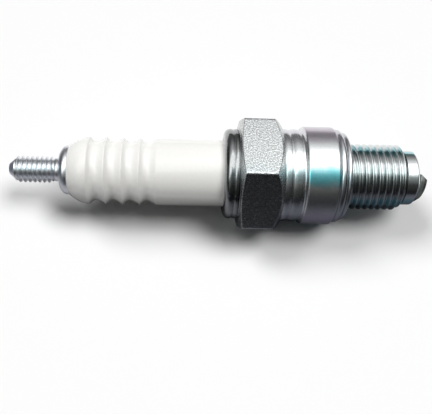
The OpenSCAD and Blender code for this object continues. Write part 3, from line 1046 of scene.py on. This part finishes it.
def make_tint():
    inputs = [
        ("Plain", COLOUR, (0.8, 0.8, 0.8)),
        ("Blue", COLOUR, (0.5, 0.8, 0.8)),
        ("Pink", COLOUR, (0.8, 0.6, 0.7)),
        ("Amount", NUMBER, 0.5),
        ("Turn", NUMBER, 0.0),
    ]
    group, given, result = new_group("plating_tint", inputs, [("Color", COLOUR)])
    place = place_on_piece(group)
    axes = split(group, place)
    angle = maths(group, "ARCTAN2", axes["Z"], axes["Y"])
    settings = {"Vector": place, "Scale": TINT_CLOUD / MM, "Detail": TINT_DETAIL}
    cloud = add(group, "ShaderNodeTexNoise", settings).outputs[0]
    drift = maths(group, "MULTIPLY", maths(group, "SUBTRACT", cloud, 0.5), TINT_DRIFT)
    phase = maths(group, "ADD", maths(group, "MULTIPLY", angle, TINT_BANDS), drift)
    phase = maths(group, "ADD", phase, given["Turn"])
    wave = maths(group, "COSINE", maths(group, "SUBTRACT", phase, TINT_BANDS * TINT_CENTRE))
    blue = maths(group, "MULTIPLY", spread(group, wave, *TINT_BLUE_FROM), given["Amount"])
    pink = maths(group, "MULTIPLY", spread(group, wave, *TINT_PINK_FROM), given["Amount"])
    colour = mix_colours(group, blue, given["Plain"], given["Blue"])
    feed(group, mix_colours(group, pink, colour, given["Pink"]), result["Color"])
    return group


TINT = make_tint()
print("group:", TINT.name)

# %% [markdown]
# ## Building a finish
#
# Every finish starts from a Principled shader. What is the same all over a surface, such as being metal, is
# set on the shader's own socket. What varies comes through nodes: colour, roughness, and a height that Bump
# turns into a tilt of the surface. Many finishes change at a station along the axis, so one helper makes a
# mask between two stations.

# %% Building a finish
def new_material(name, **constants):
    material = bpy.data.materials.new(name)
    material.use_nodes = True
    tree = material.node_tree
    shader = tree.nodes["Principled BSDF"]
    for socket, value in constants.items():
        feed(tree, value, shader.inputs[socket.replace("_", " ")])
    return material, tree, shader


def bump(tree, shader, height, strength, depth):
    node = add(tree, "ShaderNodeBump", {"Height": height, "Strength": strength, "Distance": depth * MM})
    feed(tree, node.outputs[0], shader.inputs["Normal"])


def grain(tree, size, contrast):
    return use_group(tree, GRAIN, {"Size": size, "Contrast": contrast})


def lines(tree, pitch):
    return use_group(tree, LINES, {"Pitch": pitch})


def within(tree, station, start, end):
    """1 between two stations along the axis, and 0 elsewhere."""
    middle = (start + end) / 2 * MM
    off = maths(tree, "ABSOLUTE", maths(tree, "SUBTRACT", station, middle))
    return maths(tree, "LESS_THAN", off, (end - start) / 2 * MM)


print("materials before the finishes:", len(bpy.data.materials))

# %% [markdown]
# ## Zinc plate
#
# The shell, the stud and the gasket are steel under bright zinc plate, and it isn't even. The barrel and
# the thread are tinted most. The lip and the run-out groove get painted shade: their plate is dimmed, on the
# lip as a painted reflection of the dark things it mirrors, and in the groove for the shade that falls into
# it. Masks could be painted by hand, but a table of zones along the axis is easier to read: each gives an
# amount of tint, a dimming and some extra roughness. On the thread the film is thinner, so its two colours
# are paler and lie half a band further round.

# %% Zinc plate
Zone = namedtuple("Zone", "start end tint dim satin")
PLATE_BLUE = (0.16, 0.64, 0.71)
PLATE_PINK = (0.74, 0.66, 0.76)
THREAD_BLUE = (0.34, 0.66, 0.71)
THREAD_PINK = (0.73, 0.84, 0.84)
PAST_END = 20
FINE_GRAIN = (0.25, 0.6)
FINE_SHADE = (0.88, 1.0)
FINE_ROUGHNESS = (0.08, 0.16)
MARK_HEIGHT = 0.5
FINE_HEIGHT = 0.3
PLATE_BUMP = (0.5, 0.02)


def weighted(tree, masks, weights):
    """Sum of the masks, each times its weight."""
    total = 0.0
    for mask, weight in zip(masks, weights):
        total = maths(tree, "ADD", total, maths(tree, "MULTIPLY", mask, weight))
    return total


def plate_colour(tree, station, plain, amount):
    on_thread = within(tree, station, 0, PAST_END)
    return use_group(tree, TINT, {
        "Plain": plain,
        "Blue": mix_colours(tree, on_thread, PLATE_BLUE, THREAD_BLUE),
        "Pink": mix_colours(tree, on_thread, PLATE_PINK, THREAD_PINK),
        "Amount": amount,
        "Turn": maths(tree, "MULTIPLY", on_thread, math.pi),
    })


def plated(name, plain, zones, line_pitch, turned, extras=()):
    """Bright plate by zones, with turning lines on one stretch; each extra reworks the surface."""
    material, tree, shader = new_material(name, Metallic=1.0)
    axes = split(tree, place_on_piece(tree))
    masks = [within(tree, axes["X"], zone.start, zone.end) for zone in zones]
    tint = weighted(tree, masks, [zone.tint for zone in zones])
    # A zone's dimming darkens the plate's colour: painted reflection on the lip, painted shade in the
    # run-out groove.
    dim = weighted(tree, masks, [zone.dim for zone in zones])
    satin = weighted(tree, masks, [zone.satin for zone in zones])
    fine = grain(tree, *FINE_GRAIN)
    surface = {
        "fine": fine,
        "marks": maths(tree, "MULTIPLY", lines(tree, line_pitch), within(tree, axes["X"], *turned)),
        "shade": maths(tree, "SUBTRACT", spread(tree, fine, 0.0, 1.0, *FINE_SHADE), dim),
        "rough": maths(tree, "ADD", spread(tree, fine, 0.0, 1.0, *FINE_ROUGHNESS), satin),
    }
    for extra in extras:
        extra(tree, axes, surface)
    colour = plate_colour(tree, axes["X"], plain, tint)
    feed(tree, mix_colours(tree, 1.0, colour, surface["shade"], "MULTIPLY"), shader.inputs["Base Color"])
    feed(tree, surface["rough"], shader.inputs["Roughness"])
    marks = maths(tree, "MULTIPLY", surface["marks"], MARK_HEIGHT)
    height = maths(tree, "ADD", marks, maths(tree, "MULTIPLY", surface["fine"], FINE_HEIGHT))
    bump(tree, shader, height, *PLATE_BUMP)
    return material


print("zone columns:", Zone._fields)

# %% [markdown]
# ## Dull roots and pitted flats
# Two stretches of the shell need more than a zone. The roots of the thread get painted shade: the plate's
# colour is darker there than on the crests, for the shade that falls into the grooves, and the distance from
# the axis tells one from the other. The flats of the hexagon keep the small pits of the drawn bar under the
# plate, which makes them glitter: there a coarse grain takes the place of the turning lines, and it dulls
# and darkens the plate a little.

# %% Painted shade in the roots, and pitted flats
ROOT_BELOW = 0.6
CREST_BELOW = 0.1
ROOT_R = THREAD_R - ROOT_BELOW
CREST_R = THREAD_R - CREST_BELOW
ROOT_SHADE = 0.28
PIT_GRAIN = (0.2, 0.95)
PIT_HEIGHT = 4.0
PIT_ROUGHNESS = 0.3
PIT_ROUGH_POWER = 5.0
PIT_SHADE = 0.5


# Painted shade: the plate's colour darkens towards the roots of the thread, for the shade in its grooves.
def painted_root_shade(tree, axes, surface):
    square = maths(tree, "ADD", maths(tree, "POWER", axes["Y"], 2.0), maths(tree, "POWER", axes["Z"], 2.0))
    hollow = spread(tree, maths(tree, "SQRT", square), CREST_R * MM, ROOT_R * MM)
    hollow = maths(tree, "MULTIPLY", hollow, within(tree, axes["X"], 0, pilot_x))
    surface["shade"] = maths(tree, "SUBTRACT", surface["shade"], maths(tree, "MULTIPLY", hollow, ROOT_SHADE))


def pitted_flats(tree, axes, surface):
    on_flats = within(tree, axes["X"], hex_x, waist_x)
    coarse = maths(tree, "MULTIPLY", grain(tree, *PIT_GRAIN), on_flats)
    rough = maths(tree, "MULTIPLY", maths(tree, "POWER", coarse, PIT_ROUGH_POWER), PIT_ROUGHNESS)
    smooth = maths(tree, "SUBTRACT", 1.0, on_flats)
    surface["marks"] = maths(tree, "MULTIPLY", surface["marks"], smooth)
    surface["fine"] = maths(tree, "ADD", surface["fine"], maths(tree, "MULTIPLY", coarse, PIT_HEIGHT))
    surface["rough"] = maths(tree, "ADD", surface["rough"], rough)
    surface["shade"] = maths(tree, "SUBTRACT", surface["shade"], maths(tree, "MULTIPLY", coarse, PIT_SHADE))


print("roots and crests of the thread:", round(ROOT_R, 2), round(CREST_R, 2))

# %% Plated pieces
groove_end = pilot_x + RUN_OUT_L
BEFORE_LIP = lip_x - 1
SHELL_ZONES = [
    # Painted reflection: the lip's dimming stands in for the dark things that it mirrors.
    Zone(BEFORE_LIP, hex_x, 0.1, 0.55, 0.0),
    Zone(hex_x, waist_x, 0.06, 0.0, 0.04),
    Zone(waist_x, barrel_x, 0.35, 0.0, 0.1),
    Zone(barrel_x, seat_x, 0.95, 0.0, 0.2),
    Zone(seat_x, pilot_x, 0.85, 0.0, 0.0),
    # Painted shade: the run-out groove's dimming stands in for the shade that falls into it.
    Zone(pilot_x, groove_end, 0.2, 0.75, 0.2),
    Zone(groove_end, PAST_END, 0.85, 0.0, 0.0),
]
ALL_STUD = (-60, -20)
ALL_GASKET = (-3, 1)
STUD_ZONES = [Zone(*ALL_STUD, 0.1, 0.0, 0.18)]
GASKET_ZONES = [Zone(*ALL_GASKET, 0.2, 0.0, 0.12)]
SHELL_PLAIN = (0.82, 0.85, 0.855)
STUD_PLAIN = (0.86, 0.89, 0.92)
GASKET_PLAIN = (0.74, 0.76, 0.78)
SHELL_LINES = 0.12
STUD_LINES = 0.08
SHELL_TURNED = (BEFORE_LIP, 0)
STUD_TURNED = (head_x - 2, 0)
NOT_TURNED = (0, 0)
SHELL_EXTRAS = (painted_root_shade, pitted_flats)
shell_plate = plated("zinc plate", SHELL_PLAIN, SHELL_ZONES, SHELL_LINES, SHELL_TURNED, SHELL_EXTRAS)
stud_plate = plated("plated stud", STUD_PLAIN, STUD_ZONES, STUD_LINES, STUD_TURNED)
gasket_plate = plated("gasket sheet", GASKET_PLAIN, GASKET_ZONES, STUD_LINES, NOT_TURNED)
print("plates:", [plate.name for plate in (shell_plate, stud_plate, gasket_plate)])

# %% [markdown]
# ## White glaze
#
# The ceramic is fired with a clear glass glaze: white with a trace of warmth, glossy, and very slightly
# wavy. A plain white with some gloss comes close, and faint specks and a weak bump take away the look of
# plastic.

# %% White glaze
GLAZE = (0.95, 0.945, 0.915)
GLAZE_ROUGHNESS = 0.16
GLAZE_IOR = 1.55
SPECK_GRAIN = (0.5, 0.7)
SPECK_SHADE = (0.97, 1.0)
WAVY_GRAIN = (1.4, 0.3)
WAVY_BUMP = (0.15, 0.02)


def glazed(name):
    material, tree, shader = new_material(name, Roughness=GLAZE_ROUGHNESS, IOR=GLAZE_IOR)
    speck = spread(tree, grain(tree, *SPECK_GRAIN), 0.0, 1.0, *SPECK_SHADE)
    feed(tree, mix_colours(tree, 1.0, GLAZE, speck, "MULTIPLY"), shader.inputs["Base Color"])
    bump(tree, shader, grain(tree, *WAVY_GRAIN), *WAVY_BUMP)
    return material


glaze = glazed("white glaze")
print("glaze:", glaze.name)

# %% [markdown]
# ## Nickel alloy
#
# Both electrodes are nickel alloy, greyer than the plate. The strap's colour is painted very dark, as a
# painted reflection of the dark surroundings that its sides mirror, and its tip is painted pale, as a
# painted highlight where the light falls on it. Its drawing marks follow the bend, so they can't come from
# places in
# space: the sweep above stored, at each point, how far along and how far round the strip it is, and the
# noise reads that attribute. The centre electrode has plain turning lines, and its colour mixes the same
# dark and pale nickel at a fixed share.

# %% Nickel alloy
# Painted reflection: the two streak colours are kept very dark, for the dark surroundings that the strap
# mirrors. The pale colour is a painted highlight at the strap's tip.
STREAK_DARK_AND_SHADE = (0.025, 0.03, 0.028)
STREAK_LIGHT_AND_SHADE = (0.11, 0.12, 0.115)
PALE_NICKEL_AND_HIGHLIGHT = (0.27, 0.29, 0.28)
TIP_HIGHLIGHT_FROM = (0.72, 0.95)
WIRE_PALE_SHARE = 0.3
WIRE_LINES = 0.15
STREAK_STRETCH = (1.5, 7.0, 7.0)
STREAK_DETAIL = 4.0
NICKEL_ROUGHNESS = (0.2, 0.32)
NICKEL_BUMP = (0.4, 0.03)


def nickel(name, marks_and_pale_share):
    material, tree, shader = new_material(name, Metallic=1.0)
    marks, pale_share = marks_and_pale_share(tree)
    shaded_streaks = mix_colours(tree, marks, STREAK_DARK_AND_SHADE, STREAK_LIGHT_AND_SHADE)
    feed(tree, mix_colours(tree, pale_share, shaded_streaks, PALE_NICKEL_AND_HIGHLIGHT), shader.inputs["Base Color"])
    feed(tree, spread(tree, marks, 0.0, 1.0, *NICKEL_ROUGHNESS), shader.inputs["Roughness"])
    bump(tree, shader, marks, *NICKEL_BUMP)
    return material


def along_strap(tree):
    run = add(tree, "ShaderNodeAttribute", attribute_name="run").outputs["Vector"]
    vector = add(tree, "ShaderNodeVectorMath", {0: run, 1: STREAK_STRETCH}, operation="MULTIPLY").outputs[0]
    noise = add(tree, "ShaderNodeTexNoise", {"Vector": vector, "Scale": 1.0, "Detail": STREAK_DETAIL})
    marks = spread(tree, noise.outputs[0], *NOISE_RANGE)
    # Painted highlight: the share of pale colour rises along the last part of the strap, towards its tip.
    return marks, spread(tree, split(tree, run)["X"], *TIP_HIGHLIGHT_FROM)


def round_wire(tree):
    return lines(tree, WIRE_LINES), WIRE_PALE_SHARE


strap_nickel = nickel("bent nickel", along_strap)
wire_nickel = nickel("drawn nickel", round_wire)
print("nickel:", strap_nickel.name, wire_nickel.name)

# %% [markdown]
# ## Inside pieces
#
# The packing rings, the talc, the glass seal and the copper core can't be seen, but a cut-away view or a
# reader who hides the shell would find them. A dark and a light colour mixed by grain are enough for each.

# %% Inside pieces
MOTTLE_CONTRAST = 0.4
MOTTLE_BUMP = (0.3, 0.03)
Mottle = namedtuple("Mottle", "dark light metallic roughness size")
MOTTLES = {
    "packing steel": Mottle((0.3, 0.3, 0.31), (0.5, 0.5, 0.51), 1.0, 0.4, 0.2),
    "pressed talc": Mottle((0.74, 0.72, 0.66), (0.86, 0.84, 0.78), 0.0, 0.9, 0.15),
    "seal glass": Mottle((0.06, 0.06, 0.07), (0.2, 0.2, 0.21), 0.0, 0.25, 0.2),
    "bare copper": Mottle((0.6, 0.3, 0.18), (0.76, 0.44, 0.3), 1.0, 0.3, 0.25),
}


def mottled(name):
    look = MOTTLES[name]
    material, tree, shader = new_material(name, Metallic=look.metallic, Roughness=look.roughness)
    fine = grain(tree, look.size, MOTTLE_CONTRAST)
    feed(tree, mix_colours(tree, fine, look.dark, look.light), shader.inputs["Base Color"])
    bump(tree, shader, fine, *MOTTLE_BUMP)
    return material


print("inside:", sorted(MOTTLES))

# %% [markdown]
# ## Putting the finishes on
#
# The record names a material slot for every node, so one table from slots to finishes dresses all the CAD
# nodes, and the skins follow it too. Only the strap has a finish of its own, because its marks need the
# attribute.

# %% Putting the finishes on
FINISHES = {
    "plated_steel": shell_plate,
    "stud_steel": stud_plate,
    "gasket_steel": gasket_plate,
    "glazed_alumina": glaze,
    "nickel": wire_nickel,
    "packing_steel": mottled("packing steel"),
    "talc": mottled("pressed talc"),
    "seal_glass": mottled("seal glass"),
    "copper": mottled("bare copper"),
}
slots = {piece["node"]: piece["material_slot"] for piece in frame["record"]["subparts"]}
for name, node in nodes.items():
    node.data.materials.clear()
    node.data.materials.append(FINISHES[slots[name]])
for name, (skin, _, slot) in SKINS.items():
    skin.data.materials.append(strap_nickel if name == "ground_electrode" else FINISHES[slot])
print("dressed nodes:", len(nodes), "skins:", len(SKINS))

# %% [markdown]
# ## The floor
#
# The plug lies on plain pale paper. To the camera and in reflections the paper is almost white. Paper that
# white would also throw light up under the ceramic and take away its shading, so for the rays of bounced
# light the Light Path node gives it a darker grey. It still takes the plug's shadow.

# %% Floor
FLOOR_HALF = 250
FLOOR_SEEN = (0.92, 0.92, 0.92)
FLOOR_BOUNCE = (0.13, 0.13, 0.13)
floor_z = cad_box[0][2] / MM


def rectangle(x0, y0, x1, y1, z):
    return [(x0, y0, z), (x1, y0, z), (x1, y1, z), (x0, y1, z)]


def add_sheet(name, rectangles, material):
    """A flat sheet of one or more rectangles."""
    corners = [Vector(corner) * MM for each in rectangles for corner in each]
    faces = [tuple(range(4 * i, 4 * i + 4)) for i in range(len(rectangles))]
    mesh = bpy.data.meshes.new(name)
    mesh.from_pydata(corners, [], faces)
    mesh.materials.append(material)
    sheet = bpy.data.objects.new(name, mesh)
    scene.collection.objects.link(sheet)
    return sheet


def floor_paper():
    material, tree, shader = new_material("floor paper", Roughness=1.0, Specular_IOR_Level=0.0)
    rays = add(tree, "ShaderNodeLightPath").outputs
    seen = maths(tree, "MAXIMUM", rays["Is Camera Ray"], rays["Is Glossy Ray"])
    seen = maths(tree, "MAXIMUM", seen, rays["Is Transmission Ray"])
    feed(tree, mix_colours(tree, seen, FLOOR_BOUNCE, FLOOR_SEEN), shader.inputs["Base Color"])
    return material


floor_sides = rectangle(-FLOOR_HALF, -FLOOR_HALF, FLOOR_HALF, FLOOR_HALF, floor_z)
floor = add_sheet("floor", [floor_sides], floor_paper())
print("floor at z:", round(floor_z, 3))

# %% [markdown]
# ## A dark card
#
# Bright metal is only as dark as what it mirrors. So photographers lay a dark card beside it, and the front
# sides of the hexagon, the barrel and the thread turn black. This card lies on the floor in front of the
# plug and at its left. It is darkest far in front, and close to the plug it is lighter, more so under the
# ceramic than under the thread. Only reflections see it: the camera, the shadows and the bounced light pass
# it by.

# %% Dark card
CARD_LIFT = 0.2
CARD_LEFT = -58
CARD_BACK = 100
CARD_NEAR_FROM = (-50, -14)
CARD_UNDER_FROM = (-30, -8)
CARD_ASIDE_FROM = (-56, -70)
CARD_FRONT = (0.015, 0.015, 0.018)
CARD_UNDER_LIP = (0.4, 0.4, 0.42)
CARD_UNDER_THREAD = (0.11, 0.115, 0.135)
CARD_ASIDE = (0.15, 0.16, 0.19)


def card_paper():
    material, tree, shader = new_material("dark card", Roughness=1.0, Specular_IOR_Level=0.0)
    axes = split(tree, place_on_piece(tree))
    near = spread(tree, axes["Y"], *[y * MM for y in CARD_NEAR_FROM])
    along = spread(tree, axes["X"], *[x * MM for x in CARD_UNDER_FROM])
    aside = spread(tree, axes["X"], *[x * MM for x in CARD_ASIDE_FROM])
    under = mix_colours(tree, along, CARD_UNDER_LIP, CARD_UNDER_THREAD)
    colour = mix_colours(tree, near, CARD_FRONT, under)
    feed(tree, mix_colours(tree, aside, colour, CARD_ASIDE), shader.inputs["Base Color"])
    return material


card_z = floor_z + CARD_LIFT
card_front = rectangle(-FLOOR_HALF, -FLOOR_HALF, FLOOR_HALF, 0, card_z)
card_left = rectangle(-FLOOR_HALF, 0, CARD_LEFT, CARD_BACK, card_z)
card = add_sheet("dark_card", [card_front, card_left], card_paper())
card.visible_camera = False
card.visible_diffuse = False
card.visible_shadow = False
print("card at z:", round(card_z, 3))

# %% [markdown]
# ## The softbox
#
# A long softbox hangs over the plug, and the metal mirrors it as the bright bands along the barrel and the
# turns. An area lamp could stand for it, but a real softbox fades at its rim, and the fade is what rounds
# the metal. So the world itself is painted: a ramp gives its level by the angle from the front horizon over
# the top to the back, leaning a little with the distance to the left, and it fades out past both ends. The
# camera sees plain white, and only a small share of this light falls on dull surfaces, which the key lights
# take care of.

# %% Softbox
BOX_LEVEL = 2.4
BOX_LEAN = 0.7
BOX_MIDDLE = -0.04
BOX_ENDS = (0.85, 0.6)
ROOM_LEVEL = 0.008
FILL_SHARE = 0.11
CAMERA_SEES = (1.0, 1.0, 1.0)
SKY = (
    (-20, 0.003), (0, 0.003), (30, 0.015), (48, 0.07), (62, 0.14), (71, 0.4), (78, 1.0), (112, 1.0),
    (117, 0.8), (121, 0.5), (126, 0.35), (132, 0.31), (142, 0.21), (150, 0.13), (165, 0.06), (180, 0.06),
)


def sky_ramp(tree, angle):
    """Level of the sky at an angle, from the table of degrees and levels."""
    lowest, highest = SKY[0][0], SKY[-1][0]
    share = spread(tree, angle, math.radians(lowest), math.radians(highest))
    ramp = add(tree, "ShaderNodeValToRGB", {0: share})
    elements = ramp.color_ramp.elements
    while len(elements) < len(SKY):
        elements.new(0.5)
    for element, (degrees, level) in zip(elements, SKY):
        element.position = (degrees - lowest) / (highest - lowest)
        element.color = (level, level, level, 1)
    return ramp.outputs[0]


def add_world():
    world = bpy.data.worlds.new("studio")
    world.use_nodes = True
    tree = world.node_tree
    axes = split(tree, add(tree, "ShaderNodeTexCoord").outputs["Generated"])
    angle = maths(tree, "ARCTAN2", axes["Z"], maths(tree, "MULTIPLY", axes["Y"], -1.0))
    lean = maths(tree, "MULTIPLY", maths(tree, "MINIMUM", axes["X"], 0.0), BOX_LEAN)
    sky = sky_ramp(tree, maths(tree, "SUBTRACT", angle, lean))
    off_middle = maths(tree, "ABSOLUTE", maths(tree, "SUBTRACT", axes["X"], BOX_MIDDLE))
    ends = maths(tree, "MULTIPLY", spread(tree, off_middle, *BOX_ENDS), BOX_LEVEL)
    level = maths(tree, "ADD", maths(tree, "MULTIPLY", sky, ends), ROOM_LEVEL)
    rays = add(tree, "ShaderNodeLightPath").outputs
    share = spread(tree, rays["Is Diffuse Ray"], 0.0, 1.0, 1.0, FILL_SHARE)
    lit = maths(tree, "MULTIPLY", level, share)
    colour = mix_colours(tree, rays["Is Camera Ray"], lit, CAMERA_SEES)
    feed(tree, colour, tree.nodes["Background"].inputs["Color"])
    scene.world = world


add_world()
print("world:", scene.world.name, "with", len(SKY), "levels")

# %% [markdown]
# ## Key lights
#
# Two soft lights from high up, one to the left and behind and one to the right, shape the white ceramic and
# lay the soft shadows towards the viewer. They are suns with a wide angle, since a sun's level is the same
# wherever the piece lies. The metal already mirrors the softbox, so these two are hidden from reflections.

# %% Key lights
Key = namedtuple("Key", "place strength")
KEYS = {
    "left key": Key((-0.5, 0.31, 0.85), 1.7),
    "right key": Key((0.38, 0.0, 0.92), 1.62),
}
KEY_ANGLE = math.radians(27)


def add_key(name, key):
    data = bpy.data.lights.new(name, "SUN")
    data.energy = key.strength
    data.angle = KEY_ANGLE
    lamp = bpy.data.objects.new(name, data)
    lamp.visible_glossy = False
    lamp.rotation_euler = Vector(key.place).to_track_quat("Z", "Y").to_euler()
    scene.collection.objects.link(lamp)


for name, key in KEYS.items():
    add_key(name, key)
print("key lights:", sorted(KEYS))

# %% [markdown]
# ## The view
#
# Blender's default view bends bright tones, which suits films. Standard shows each colour as it is written,
# so white ceramic stays white.

# %% View
scene.view_settings.view_transform = "Standard"
print("view:", scene.view_settings.view_transform)

# %% [markdown]
# ## Sizes
#
# The CAD model's box is measured at the start, before the skins are made, and the floor lies at its bottom.
